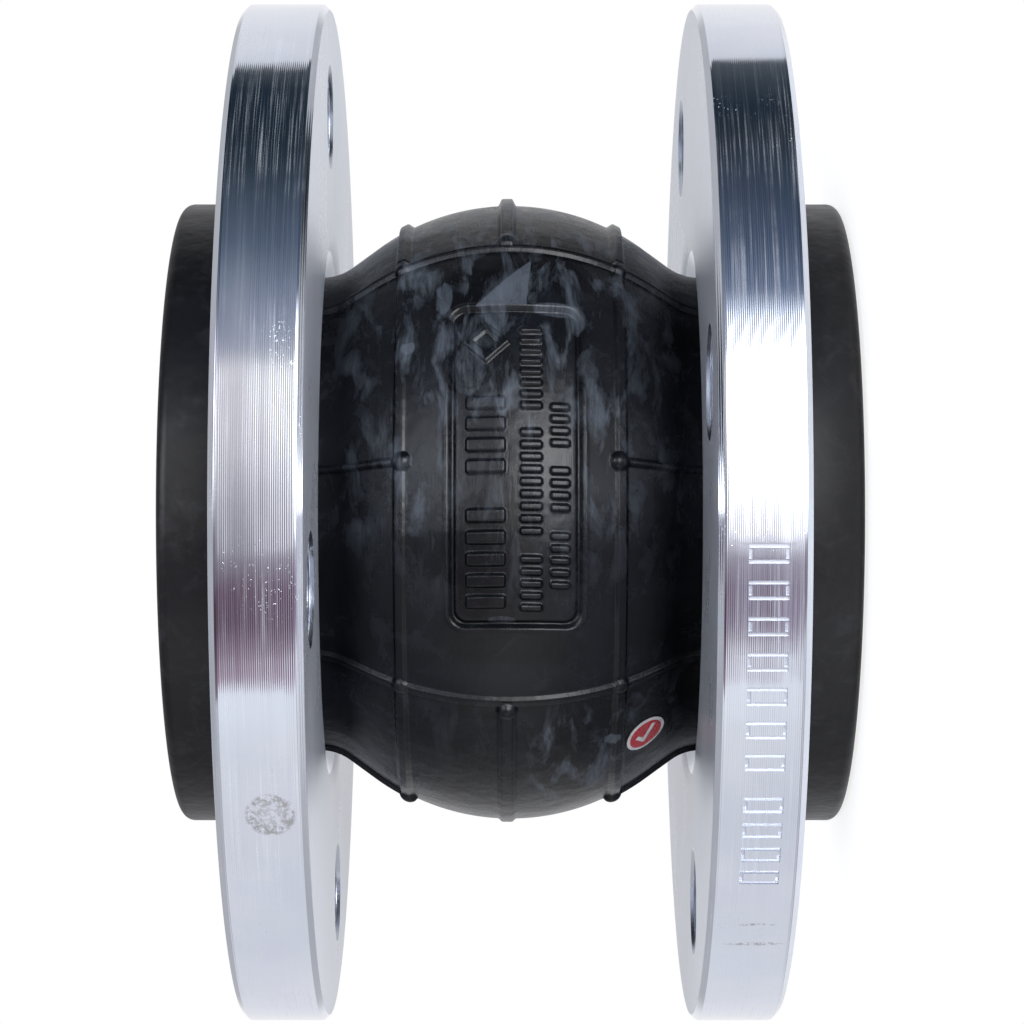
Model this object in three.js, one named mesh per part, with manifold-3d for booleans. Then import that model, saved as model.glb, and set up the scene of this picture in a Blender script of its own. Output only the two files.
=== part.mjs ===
// Single-arch rubber expansion joint, DN65, with two loose swivelling flanges.
// Millimetres, +Z up. The pipe axis is Z and the lower sealing face lies on z = 0.

import * as THREE from "three";
import { mergeVertices } from "three/addons/utils/BufferGeometryUtils.js";
import Module from "manifold-3d";

const wasm = await Module();
wasm.setup();

// Overall sizes of the joint.
const FACE_TO_FACE = 119;
const MIDDLE = FACE_TO_FACE / 2;
const BORE_RADIUS = 32.5;
const GAP = 0.3;

// Loose flange, drilled 4 x 18 on a 145 mm bolt circle for M16 bolts.
const FLANGE_RADIUS = 92.5;
const FLANGE_THICKNESS = 15;
const FLANGE_BORE_RADIUS = 44.5;
const FLANGE_INNER_EDGE = 6.5;
const RIM_CHAMFER = 1;
const BOLT_COUNT = 4;
const BOLT_CIRCLE_RADIUS = 72.5;
const BOLT_HOLE_RADIUS = 9;
const LOWER_HOLE_TURN = THREE.MathUtils.degToRad(17);
const UPPER_HOLE_TURN = THREE.MathUtils.degToRad(-10);

// Rubber sealing collar: a face ring with a hook that sits in the flange's groove.
const COLLAR_RADIUS = 56.5;
const COLLAR_HEIGHT = 12;
const COLLAR_CORNER = 2;
const COLLAR_FLOOR = 5.7;
const HOOK_RADIUS = 51.8;
const HOOK_TOP = 18;
const HOOK_CHAMFER = 1.5;
const GROOVE_RADIUS = 52.5;
const GROOVE_DEPTH = 6.5;
const SEAT_RADIUS = 57.5;
const SEAT_DEPTH = 0.5;

// Arch of the bellows: a crown arc, a straight flank and a neck fillet, seen in section.
const CREST_RADIUS = 56.2;
const CROWN_ARC = 41;
const FLANK_ANGLE = THREE.MathUtils.degToRad(36);
const NECK_RADIUS = 43.1;
const NECK_FILLET = 10;
const RIB_ANGLE = THREE.MathUtils.degToRad(27.2);
const RIB_HALF_WIDTH = 1;
const RIB_HEIGHT = 1;

// Wall layers, from the outer skin inwards.
const COVER_THICKNESS = 3;
const PLY_THICKNESS = 1;
const PLY_STEP = PLY_THICKNESS + GAP;
const INNER_SKIN_DEPTH = NECK_RADIUS - BORE_RADIUS;
const PLY_FOOT_RADII = [47, 47.7, 48.4];

// Steel hoop bundle and the rubber filler above it, inside each collar.
const WIRE_RADIUS = 1;
const WIRE_STEP = 2 * WIRE_RADIUS + GAP;
const BUNDLE_RADIUS = 45;
const BUNDLE_SIDE = 2;
const CORE_INNER_RADIUS = 43.7;
const CORE_OUTER_RADIUS = 48.6;
const FILLER_HEIGHT = 1.7;
const FILLER_TAPER = 1;

// Round inspection label on the lower flank of the arch.
const LABEL_RADIUS = 4;
const LABEL_THICKNESS = 0.3;
const LABEL_TURN = THREE.MathUtils.degToRad(-142.5);
const LABEL_ANGLE = THREE.MathUtils.degToRad(34.6);

// How finely round shapes are divided.
const FLANGE_SIDES = 48;
const RUBBER_SIDES = 36;
const CORE_SIDES = 24;
const WIRE_SIDES = 6;
const HOLE_SIDES = 16;
const CROWN_STEPS = 6;
const FILLET_STEPS = 2;
const EDGE_STEPS = 3;

const collarTop = COLLAR_HEIGHT + SEAT_DEPTH - GAP;
const lipUnderside = HOOK_TOP - HOOK_CHAMFER;
const crownCentre = CREST_RADIUS - CROWN_ARC;
const footHeights = PLY_FOOT_RADII.map((_, ply) => COLLAR_FLOOR + GAP + ply * PLY_STEP);
const coverEnd = footHeights.at(-1) + PLY_STEP;

// Materials, one new one for each mesh.
const zincSteel = () => material(0xb4b8bd, 0.32, 0.95);
const hoopSteel = () => material(0x8d8f92, 0.45, 0.9);
const blackRubber = () => material(0x1d2024, 0.62, 0);
const nylonCord = () => material(0xb9a98a, 0.85, 0);
const redLabel = () => material(0xb3141f, 0.4, 0);

function material(color, roughness, metalness) {
  return new THREE.MeshStandardMaterial({ color, roughness, metalness });
}

// A point of a section, as radius from the axis and height.
function at(radius, height) {
  return new THREE.Vector2(radius, height);
}

// Points of an arc in a section, both ends included.
function arc(centre, radius, from, to, steps) {
  return Array.from({ length: steps + 1 }, (_, i) => {
    const angle = from + ((to - from) * i) / steps;
    return at(centre.x + radius * Math.cos(angle), centre.y + radius * Math.sin(angle));
  });
}

// Revolves a closed section, given anticlockwise, about the Z axis.
function revolve(section, sides) {
  const geometry = new THREE.LatheGeometry([...section, section[0]], sides);
  return geometry.rotateX(Math.PI / 2);
}

// The same section at the other end of the joint.
function mirrored(section) {
  return section.map((p) => at(p.x, FACE_TO_FACE - p.y)).reverse();
}

function toSolid(geometry) {
  const bare = geometry.clone();
  bare.deleteAttribute("normal");
  bare.deleteAttribute("uv");
  const merged = mergeVertices(bare, 1e-4);
  const vertProperties = new Float32Array(merged.attributes.position.array);
  const triVerts = new Uint32Array(merged.index.array);
  return new wasm.Manifold(new wasm.Mesh({ numProp: 3, vertProperties, triVerts }));
}

function toGeometry(solid) {
  const mesh = solid.getMesh();
  const geometry = new THREE.BufferGeometry();
  geometry.setAttribute("position", new THREE.BufferAttribute(mesh.vertProperties, 3));
  geometry.setIndex(new THREE.BufferAttribute(mesh.triVerts, 1));
  geometry.computeVertexNormals();
  return geometry;
}

function named(name, geometry, look) {
  const mesh = new THREE.Mesh(geometry, look);
  mesh.name = name;
  return mesh;
}

// Section of the lower flange: shallow seat for the collar, groove for its hook, rounded bore, rim.
function flangeSection() {
  const outerFace = COLLAR_HEIGHT;
  const innerFace = outerFace + FLANGE_THICKNESS;
  const edgeCentre = at(FLANGE_BORE_RADIUS + FLANGE_INNER_EDGE, innerFace - FLANGE_INNER_EDGE);
  return [
    at(GROOVE_RADIUS, outerFace + SEAT_DEPTH),
    at(SEAT_RADIUS, outerFace + SEAT_DEPTH),
    at(SEAT_RADIUS, outerFace),
    at(FLANGE_RADIUS - RIM_CHAMFER, outerFace),
    at(FLANGE_RADIUS, outerFace + RIM_CHAMFER),
    at(FLANGE_RADIUS, innerFace - RIM_CHAMFER),
    at(FLANGE_RADIUS - RIM_CHAMFER, innerFace),
    ...arc(edgeCentre, FLANGE_INNER_EDGE, Math.PI / 2, Math.PI, EDGE_STEPS),
    at(FLANGE_BORE_RADIUS, outerFace + GROOVE_DEPTH),
    at(GROOVE_RADIUS, outerFace + GROOVE_DEPTH),
  ];
}

function flange(name, section, holeTurn) {
  let body = toSolid(revolve(section, FLANGE_SIDES));
  for (let i = 0; i < BOLT_COUNT; i++) {
    const turn = holeTurn + (i * 2 * Math.PI) / BOLT_COUNT;
    const drill = new THREE.CylinderGeometry(
      BOLT_HOLE_RADIUS,
      BOLT_HOLE_RADIUS,
      2 * FACE_TO_FACE,
      HOLE_SIDES,
    );
    drill.rotateX(Math.PI / 2);
    drill.translate(BOLT_CIRCLE_RADIUS, 0, 0);
    drill.rotateZ(turn);
    body = body.subtract(toSolid(drill));
  }
  return named(name, toGeometry(body), zincSteel());
}

// Section of the lower collar. Its pocket opens towards the bore, where the plies come in.
function collarSection() {
  const cornerCentre = at(COLLAR_RADIUS - COLLAR_CORNER, COLLAR_CORNER);
  const pocketRadius = CORE_OUTER_RADIUS + GAP;
  const lipRadius = NECK_RADIUS + GAP;
  return [
    at(BORE_RADIUS, 0),
    ...arc(cornerCentre, COLLAR_CORNER, -Math.PI / 2, 0, EDGE_STEPS),
    at(COLLAR_RADIUS, collarTop),
    at(HOOK_RADIUS, collarTop),
    at(HOOK_RADIUS, lipUnderside),
    at(HOOK_RADIUS - HOOK_CHAMFER, HOOK_TOP),
    at(lipRadius, HOOK_TOP),
    at(lipRadius, lipUnderside),
    at(pocketRadius, lipUnderside),
    at(pocketRadius, COLLAR_FLOOR),
    at(BORE_RADIUS, COLLAR_FLOOR),
  ];
}

// Line of the wall at a depth below the outer skin, from the lower neck to the upper one.
function wallLine(depth, crown) {
  const crownRadius = CROWN_ARC - depth;
  const filletRadius = NECK_FILLET + depth;
  const reach = CROWN_ARC + NECK_FILLET;
  const filletCentreRadius = NECK_RADIUS + NECK_FILLET;
  const rise = reach * Math.cos(FLANK_ANGLE) - (filletCentreRadius - crownCentre);
  const flank = rise / Math.sin(FLANK_ANGLE);
  const filletOffset = reach * Math.sin(FLANK_ANGLE) + flank * Math.cos(FLANK_ANGLE);
  const lowerFillet = arc(
    at(filletCentreRadius, MIDDLE - filletOffset),
    filletRadius,
    Math.PI,
    Math.PI - FLANK_ANGLE,
    FILLET_STEPS,
  );
  const crownLine = crown.map(([angle, height]) =>
    at(
      crownCentre + (crownRadius + height) * Math.cos(angle),
      MIDDLE + (crownRadius + height) * Math.sin(angle),
    ),
  );
  return [...lowerFillet, ...crownLine, ...mirrored(lowerFillet)];
}

// Angles along a smooth crown, each with no added height.
function smoothCrown() {
  return Array.from({ length: CROWN_STEPS + 1 }, (_, i) => {
    const angle = -FLANK_ANGLE + (2 * FLANK_ANGLE * i) / CROWN_STEPS;
    return [angle, 0];
  });
}

// The same crown with a raised rib round each shoulder.
function ribbedCrown() {
  const half = RIB_HALF_WIDTH / CROWN_ARC;
  const clear = smoothCrown().filter(([a]) => Math.abs(Math.abs(a) - RIB_ANGLE) > 2 * half);
  const ribs = [-RIB_ANGLE, RIB_ANGLE].flatMap((rib) => [
    [rib - half, 0],
    [rib - half / 2, RIB_HEIGHT],
    [rib + half / 2, RIB_HEIGHT],
    [rib + half, 0],
  ]);
  return [...clear, ...ribs].sort((a, b) => a[0] - b[0]);
}

// One straight-ended wall layer between two depths.
function plainLayer(name, outerDepth, innerDepth, outerCrown, end, sides, look) {
  const outerNeck = NECK_RADIUS - outerDepth;
  const innerNeck = NECK_RADIUS - innerDepth;
  const section = [
    at(innerNeck, end),
    at(outerNeck, end),
    ...wallLine(outerDepth, outerCrown),
    at(outerNeck, FACE_TO_FACE - end),
    at(innerNeck, FACE_TO_FACE - end),
    ...wallLine(innerDepth, smoothCrown()).reverse(),
  ];
  return named(name, revolve(section, sides), look);
}

// A cord ply, whose ends turn outwards as feet under the hoop bundles.
function ply(name, order) {
  const outerDepth = COVER_THICKNESS + GAP + (PLY_FOOT_RADII.length - 1 - order) * PLY_STEP;
  const innerDepth = outerDepth + PLY_THICKNESS;
  const foot = footHeights[order];
  const lowerEnd = [
    at(NECK_RADIUS - innerDepth, foot),
    at(PLY_FOOT_RADII[order], foot),
    at(PLY_FOOT_RADII[order], foot + PLY_THICKNESS),
    at(NECK_RADIUS - outerDepth, foot + PLY_THICKNESS),
  ];
  const section = [
    ...lowerEnd,
    ...wallLine(outerDepth, smoothCrown()),
    ...mirrored(lowerEnd),
    ...wallLine(innerDepth, smoothCrown()).reverse(),
  ];
  return named(name, revolve(section, CORE_SIDES), nylonCord());
}

// Four steel hoops in a two by two bundle, resting on the outermost ply's foot.
function hoopBundle(end, place) {
  const hoops = [];
  for (let row = 0; row < BUNDLE_SIDE; row++) {
    for (let column = 0; column < BUNDLE_SIDE; column++) {
      const radius = BUNDLE_RADIUS + column * WIRE_STEP;
      const height = coverEnd + WIRE_RADIUS + row * WIRE_STEP;
      const round = arc(at(radius, height), WIRE_RADIUS, 0, 2 * Math.PI, WIRE_SIDES).slice(1);
      const name = `${end}_hoop_wire_${row * BUNDLE_SIDE + column + 1}`;
      hoops.push(named(name, revolve(place(round), CORE_SIDES), hoopSteel()));
    }
  }
  return hoops;
}

// Tapered rubber ring that fills the pocket above the hoops.
function fillerSection() {
  const base = coverEnd + BUNDLE_SIDE * WIRE_STEP;
  return [
    at(CORE_INNER_RADIUS, base),
    at(CORE_OUTER_RADIUS, base),
    at(CORE_OUTER_RADIUS - FILLER_TAPER, base + FILLER_HEIGHT),
    at(CORE_INNER_RADIUS + FILLER_TAPER, base + FILLER_HEIGHT),
  ];
}

// The pieces of one end; place puts a lower section where that end needs it.
function endPieces(end, place, holeTurn) {
  return [
    flange(`${end}_flange`, place(flangeSection()), holeTurn),
    named(`${end}_collar`, revolve(place(collarSection()), RUBBER_SIDES), blackRubber()),
    named(`${end}_bead_filler`, revolve(place(fillerSection()), CORE_SIDES), blackRubber()),
    ...hoopBundle(end, place),
  ];
}

function bellowsPieces() {
  const cover = plainLayer(
    "outer_cover",
    0,
    COVER_THICKNESS,
    ribbedCrown(),
    coverEnd,
    RUBBER_SIDES,
    blackRubber(),
  );
  const plies = ["inner_ply", "middle_ply", "outer_ply"].map(ply);
  const tubeDepth = COVER_THICKNESS + PLY_FOOT_RADII.length * PLY_STEP + GAP;
  const tube = plainLayer(
    "inner_tube",
    tubeDepth,
    INNER_SKIN_DEPTH,
    smoothCrown(),
    footHeights[0],
    CORE_SIDES,
    blackRubber(),
  );
  return [cover, ...plies, tube];
}

// A thin disc laid flat against the flank, just clear of the cover.
function inspectionLabel() {
  const disc = new THREE.CylinderGeometry(LABEL_RADIUS, LABEL_RADIUS, LABEL_THICKNESS, HOLE_SIDES);
  const label = named("inspection_label", disc, redLabel());
  const distance = CROWN_ARC + GAP + LABEL_THICKNESS / 2;
  const radius = crownCentre + distance * Math.cos(LABEL_ANGLE);
  const outwards = new THREE.Vector3(
    Math.cos(LABEL_ANGLE) * Math.cos(LABEL_TURN),
    Math.cos(LABEL_ANGLE) * Math.sin(LABEL_TURN),
    -Math.sin(LABEL_ANGLE),
  );
  label.position.set(
    radius * Math.cos(LABEL_TURN),
    radius * Math.sin(LABEL_TURN),
    MIDDLE - distance * Math.sin(LABEL_ANGLE),
  );
  label.quaternion.setFromUnitVectors(new THREE.Vector3(0, 1, 0), outwards);
  return label;
}

const joint = new THREE.Group();
joint.add(...endPieces("lower", (section) => section, LOWER_HOLE_TURN));
joint.add(...endPieces("upper", mirrored, UPPER_HOLE_TURN));
joint.add(...bellowsPieces());
joint.add(inspectionLabel());

export default joint;
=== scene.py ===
import math

import bpy
import bmesh
import numpy as np
from mathutils import Matrix, Vector


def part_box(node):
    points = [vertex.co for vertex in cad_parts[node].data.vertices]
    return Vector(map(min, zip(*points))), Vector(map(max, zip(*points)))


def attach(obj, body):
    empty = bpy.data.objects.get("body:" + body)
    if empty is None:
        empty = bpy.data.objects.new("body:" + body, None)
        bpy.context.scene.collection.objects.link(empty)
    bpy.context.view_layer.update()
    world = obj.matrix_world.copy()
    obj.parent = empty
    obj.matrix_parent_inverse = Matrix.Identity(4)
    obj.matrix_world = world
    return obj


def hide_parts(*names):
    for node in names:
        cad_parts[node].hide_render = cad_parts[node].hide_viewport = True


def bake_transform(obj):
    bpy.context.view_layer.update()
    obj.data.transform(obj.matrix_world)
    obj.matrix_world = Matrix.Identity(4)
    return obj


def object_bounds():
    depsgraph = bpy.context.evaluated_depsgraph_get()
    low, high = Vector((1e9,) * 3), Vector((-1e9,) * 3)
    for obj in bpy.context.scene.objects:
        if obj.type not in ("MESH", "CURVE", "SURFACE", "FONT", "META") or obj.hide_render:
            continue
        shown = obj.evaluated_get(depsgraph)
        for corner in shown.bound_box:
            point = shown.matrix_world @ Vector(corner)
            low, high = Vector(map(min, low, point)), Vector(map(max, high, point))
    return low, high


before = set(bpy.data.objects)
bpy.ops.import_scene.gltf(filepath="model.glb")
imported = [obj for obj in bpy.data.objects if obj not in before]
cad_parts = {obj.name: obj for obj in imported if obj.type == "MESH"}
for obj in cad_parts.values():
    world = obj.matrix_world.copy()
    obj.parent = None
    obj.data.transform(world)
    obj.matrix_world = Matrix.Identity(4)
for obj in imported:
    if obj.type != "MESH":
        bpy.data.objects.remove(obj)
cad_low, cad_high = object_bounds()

# Rubber expansion joint, standing on its lower sealing face with the pipe axis along Z.
# Lengths are in millimetres until a mesh is made; angles are in degrees from the panel side (-Y)
# towards +X, and "across" is the distance from the arch's mid-plane towards the lower end.

MM = 0.001
SHARP_ANGLE = 35
FLANGE_SHARP_ANGLE = 30


def cad_box(node):
    """Lowest and highest corner of a CAD node, in millimetres."""
    low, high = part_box(node)
    return np.array(low) / MM, np.array(high) / MM


flange_low, flange_high = cad_box("lower_flange")
collar_high = cad_box("lower_collar")[1]
cover_low, cover_high = cad_box("outer_cover")
label_low, label_high = cad_box("inspection_label")

LENGTH = cad_high[2] / MM
MIDDLE = LENGTH / 2
BORE = 32.5
FIT = 0.3

# Flanges.
FLANGE = {
    "radius": flange_high[0],
    "outer_face": flange_low[2],
    "inner_face": flange_high[2],
    "bore": 44.5,
    "bore_edge": 6.5,
    "rim_edge": 1.0,
    "groove": 52.5,
    "groove_depth": 6.5,
    "seat": 57.5,
    "seat_depth": 0.5,
}
PLATE_MIDDLE = (FLANGE["outer_face"] + FLANGE["inner_face"]) / 2
BOLT_CIRCLE = 72.5
BOLT_HOLE = 9.0
BOLT_COUNT = 4
HOLE_TURNS = {"lower": 17.0, "upper": -10.0}
HOLE_CHAMFER = 0.6
FIRST_HOOP = 45.0

# The bellows' wall in section: crown arc, straight flank, neck fillet.
CREST = cover_high[0]
CROWN_ARC = 41.0
FLANK = math.radians(36)
NECK = 43.1
NECK_FILLET = 10.0

# Layers of the wall: depths of the two faces, lower end, and radius of the foot where there is one.
LAYERS = {
    "outer_cover": (0.0, 3.0, cover_low[2], None),
    "outer_ply": (3.3, 4.3, cad_box("outer_ply")[0][2], 48.4),
    "middle_ply": (4.6, 5.6, cad_box("middle_ply")[0][2], 47.7),
    "inner_ply": (5.9, 6.9, cad_box("inner_ply")[0][2], 47.0),
    "inner_tube": (7.2, NECK - BORE, cad_box("inner_tube")[0][2], None),
}

LAYER_COLUMNS = 160
LAYER_ROWS = 15
COVER_INNER_ROWS = 9

# The stretches of the wall, and the heights where they are cut.
CUT_REACHES = [-45.5, -27.5, -14.5, 0.0, 14.5, 27.5, 45.5]
CUTS = [MIDDLE + reach for reach in CUT_REACHES]
STRETCHES = ["lower_neck", "lower_flank", "lower_crown", "upper_crown", "upper_flank", "upper_neck"]

# Moulded details of the cover.
SEAM_ANGLES = [55.0, 145.0, -125.0, -35.0]
SIDE_RIB = 18.8
CREST_RIB = -0.6
# Heights of the side ribs, then of the crest rib: on the sharp sector, at the back, and below.
RIB_HEIGHTS = ((1.1, 0.8, 0.6), (1.3, 0.9, 0.6))
SHORT_RIB_ANGLES = [9.5, 99.5, -170.5, -80.5]
PANEL = {"angle": 9.3, "across": 0.9, "half_length": 28.8, "half_width": 11.2, "corner": 3.0}
# Steps of the cover's grid, in degrees round it and in millimetres up it.
TURN_STEP = {"panel": 0.24, "beside": 0.35, "rib": 0.28, "plain": 1.0}
RISE_STEP = {"panel": 0.25, "rib": 0.22, "plain": 1.0}

# Blank size stamp in the lower flange's rim: first angle, last angle and count of each group.
STAMP_GROUPS = [(-4.0, -25.5, 7), (-30.5, -40.0, 4)]
STAMP = {"tall": 6.4, "wide": 3.1, "stroke": 0.6, "gap": 0.15, "depth": 0.4}
LABEL = {"film": 4.0, "disc": 3.35, "lift": 0.10, "ink": 0.04, "half_stroke": 0.42, "overlap": 0.3}


# ---- meshes


def make_object(name, points, faces, material):
    """A mesh object from points in millimetres, smooth but for its sharp edges."""
    mesh = bpy.data.meshes.new(name)
    points = np.asarray(points, float) * MM
    mesh.from_pydata(points.tolist(), [], faces)
    mesh.materials.append(material)
    soften(mesh, SHARP_ANGLE)
    keep_rest_place(mesh)
    made = bpy.data.objects.new(name, mesh)
    bpy.context.scene.collection.objects.link(made)
    return made


def keep_value(mesh, name, grid):
    """Stores a value for each of the mesh's first points; the rest get none."""
    values = np.zeros(len(mesh.vertices), np.float32)
    values[: grid.size] = grid.reshape(-1)
    mesh.attributes.new(name, "FLOAT", "POINT").data.foreach_set("value", values)


def soften(mesh, sharp_angle):
    """Smooth shading, with edges sharper than the angle marked sharp."""
    work = bmesh.new()
    work.from_mesh(mesh)
    limit = math.radians(sharp_angle)
    for face in work.faces:
        face.smooth = True
    for edge in work.edges:
        edge.smooth = edge.calc_face_angle(0) < limit
    work.to_mesh(mesh)
    work.free()


def keep_rest_place(mesh):
    """Stores each point's place at rest, which the materials use, so that they move with the rubber."""
    places = np.empty(len(mesh.vertices) * 3, np.float32)
    mesh.vertices.foreach_get("co", places)
    rest = mesh.attributes.new("rest", "FLOAT_VECTOR", "POINT")
    rest.data.foreach_set("vector", places)


def rounded(centre, radius, start, end, steps):
    """Points of an arc in a section, about a centre."""
    turns = np.radians(np.linspace(start, end, steps + 1))
    return [(centre[0] + radius * math.cos(t), centre[1] + radius * math.sin(t)) for t in turns]


def spun(rows, sides):
    """Points of a ring about Z for each (radius, height) row."""
    turns = np.arange(sides) * 2 * math.pi / sides
    return [(r * math.cos(t), r * math.sin(t), z) for r, z in rows for t in turns]


def lathe(name, section, material, sides=128, upper=False):
    """A closed section of (radius, height) points revolved about Z, at the lower or the upper end."""
    rows = [(r, LENGTH - z) for r, z in reversed(section)] if upper else section
    faces = []
    for i in range(len(rows)):
        faces += ring_faces(i * sides, (i + 1) % len(rows) * sides, sides).tolist()
    return make_object(name, spun(rows, sides), faces, material)


# ---- the bellows' wall


def wall_radius(depth, height):
    """Radius and slope (change of radius with height) of the wall at a depth below its outer skin."""
    away = np.abs(height - MIDDLE)
    crown = CROWN_ARC - depth
    fillet = NECK_FILLET + depth
    crown_centre = CREST - CROWN_ARC
    fillet_centre = NECK + NECK_FILLET
    reach = CROWN_ARC + NECK_FILLET
    flank = (reach * math.cos(FLANK) - fillet_centre + crown_centre) / math.sin(FLANK)
    neck_at = reach * math.sin(FLANK) + flank * math.cos(FLANK)
    crown_end = crown * math.sin(FLANK)
    fillet_start = neck_at - fillet * math.sin(FLANK)
    on_crown = np.sqrt(np.maximum(crown**2 - away**2, 1e-6))
    into_neck = np.maximum(neck_at - away, 0)
    on_fillet = np.sqrt(np.maximum(fillet**2 - into_neck**2, 1e-6))
    flank_radius = crown_centre + crown * math.cos(FLANK) - (away - crown_end) * math.tan(FLANK)
    zones = [away <= crown_end, away <= fillet_start, away < neck_at]
    choices = [crown_centre + on_crown, flank_radius, fillet_centre - on_fillet]
    radius = np.select(zones, choices, NECK - depth)
    slope = np.select(zones, [-away / on_crown, -math.tan(FLANK), -into_neck / on_fillet], 0.0)
    return radius, slope * np.sign(height - MIDDLE)


def smooth(value):
    """Smooth step from 0 to 1."""
    value = np.clip(value, 0, 1)
    return value * value * (3 - 2 * value)


def bell(distance, half_width):
    """A rounded bump across a line, 1 on it and 0 at half_width."""
    return 0.5 + 0.5 * np.cos(math.pi * np.clip(np.abs(distance) / half_width, 0, 1))


def band(distance, half_width, edge):
    """A flat-topped band along a line, with soft edges."""
    return smooth((half_width - np.abs(distance)) / edge + 0.5)


def dome(distance, radius):
    """A round button, 1 at its middle and 0 at its edge."""
    return np.sqrt(np.clip(1 - (distance / radius) ** 2, 0, 1))


def turn_between(angle, other):
    """The signed angle from other to angle, in degrees."""
    return (angle - other + 180) % 360 - 180


def rounded_box(along, across, half_length, half_width, corner):
    """Signed distance to a rounded rectangle, negative inside."""
    dx = np.abs(along) - half_length + corner
    dy = np.abs(across) - half_width + corner
    outside = np.hypot(np.maximum(dx, 0), np.maximum(dy, 0))
    return outside + np.minimum(np.maximum(dx, dy), 0) - corner


def sector_share(angle, start, end, edge=1.5):
    """1 between two angles, going up from start to end, and 0 elsewhere."""
    centre = start + ((end - start) % 360) / 2
    half = ((end - start) % 360) / 2
    return smooth((half - np.abs(turn_between(angle, centre))) / edge + 0.5)


def rib_relief(angle, across, radius):
    """Raised ribs, seams and buttons of the mould."""
    sectors = zip(SEAM_ANGLES, SEAM_ANGLES[1:] + SEAM_ANGLES[:1])
    crisp, back, below, front = [sector_share(angle, start, end) for start, end in sectors]
    side_height, crest_height = [a * crisp + b * back + c * below for a, b, c in RIB_HEIGHTS]
    relief = np.zeros(np.broadcast(angle, across).shape)
    for side in (-SIDE_RIB, SIDE_RIB):
        line = side_height * band(across - side, 0.95, 0.8)
        worn = 0.42 * front * band(across - side, 0.85, 0.4)
        groove = 0.16 * front * bell(across - side + 1.35, 0.5)
        relief = np.maximum(relief, np.maximum(line, worn)) - groove
    relief = np.maximum(relief, crest_height * band(across - CREST_RIB, 1.25, 0.9))
    for seam in SEAM_ANGLES:
        off = np.radians(turn_between(angle, seam)) * radius
        relief = np.maximum(relief, 0.65 * band(off, 0.8, 0.4) - 0.22 * bell(off, 0.35))
        relief = relief - 0.15 * bell(np.abs(off) - 1.5, 0.5)
        for side in (-SIDE_RIB, SIDE_RIB):
            relief = np.maximum(relief, 1.2 * dome(np.hypot(off, across - side), 1.5))
        outwards = 1.8 if seam in (SEAM_ANGLES[0], SEAM_ANGLES[2]) else -1.8
        relief = np.maximum(relief, 1.7 * dome(np.hypot(off - outwards, across - CREST_RIB), 1.7))
    for short in SHORT_RIB_ANGLES:
        off = np.radians(turn_between(angle, short)) * radius
        reach = np.abs(across) - SIDE_RIB + 0.6
        relief = np.maximum(relief, 0.8 * band(off, 0.55, 0.5) * smooth(reach / 0.6))
        relief = np.maximum(relief, 1.5 * dome(np.hypot(off, reach - 0.2), 1.6))
    return relief


def panel_bars():
    """Plain raised bars in the panel, as (along, across, half length, half width)."""
    rows = [
        {"across": -5.1, "height": 6.6, "stroke": 2.2, "gap": 1.5, "from": -25.5, "groups": (5, 4)},
        {"across": 2.6, "height": 3.7, "stroke": 1.15, "gap": 0.95, "from": -26.0, "groups": (5, 9, 8)},
        {"across": 7.5, "height": 3.2, "stroke": 1.15, "gap": 0.95, "from": -22.0, "groups": (5, 4, 4)},
    ]
    bars = []
    for row in rows:
        place = row["from"]
        for count in row["groups"]:
            for _ in range(count):
                middle = place + row["stroke"] / 2
                bars.append((middle, row["across"], row["stroke"] / 2, row["height"] / 2))
                place += row["stroke"] + row["gap"]
            place += 1.6 * row["gap"] + row["stroke"]
    return bars


def panel_relief(angle, across, radius):
    """The sunk panel with a grooved edge, plain raised bars and a plain diamond."""
    along = np.radians(turn_between(angle, PANEL["angle"])) * radius
    across = across - PANEL["across"]
    edge = rounded_box(along, across, PANEL["half_length"], PANEL["half_width"], PANEL["corner"])
    relief = -0.45 * smooth(-edge / 0.5 + 0.5) - 0.5 * np.exp(-(((edge + 0.4) / 0.4) ** 2))
    relief += 0.2 * np.exp(-(((edge - 0.6) / 0.45) ** 2))
    for bar_along, bar_across, half_length, half_width in panel_bars():
        bar = rounded_box(along - bar_along, across - bar_across, half_length, half_width, 0.35)
        relief += 0.6 * smooth(-bar / 0.3 + 0.5)
    diamond = (np.abs(along - 21.5) + np.abs(across + 5.1)) / math.sqrt(2)
    relief += 0.6 * smooth((2.9 - diamond) / 0.3 + 0.5) - 0.35 * smooth((1.5 - diamond) / 0.3 + 0.5)
    return relief


def skin_relief(angle, height):
    """How far the moulded skin stands out from the plain wall."""
    across = MIDDLE - height
    radius, _ = wall_radius(0, height)
    return rib_relief(angle, across, radius) + panel_relief(angle, across, radius)


def dust_and_painted_light(angle, across):
    """Share of blue-grey chalk: mould-release streaks strongest above and beside the panel and none at the
    back, plus a painted sheen on the top of the arch and painted shade at the necks.
    """
    upper = 0.75 * smooth((angle - 4) / 12)
    beside = 0.85 * smooth((np.abs(across - PANEL["across"]) - 9) / 4) * smooth((angle + 12) / 14)
    middle = 0.35 * smooth((angle + 22) / 20)
    in_front = smooth((57 - angle) / 4) * smooth((angle + 34) / 4)
    front = np.maximum(np.maximum(upper, beside), middle) * in_front
    # The top of the arch gets chalk colour both for its dust and as a painted sheen of grazing light.
    top = 0.75 * sector_share(angle, 56, 150)
    below = 0.85 * smooth((across - 2) / 4) * sector_share(angle, -75, -39, 8)
    below = below + 0.12 * sector_share(angle, -100, -36, 8)
    # Painted shade: the chalk is halved at the necks and faded out towards the flanges, where they shade
    # the rubber.
    neck = 0.5 + 0.5 * smooth((23 - np.abs(across)) / 4)
    return np.clip(front + top + below, 0, 1) * neck * smooth((33 - np.abs(across)) / 8)


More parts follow.
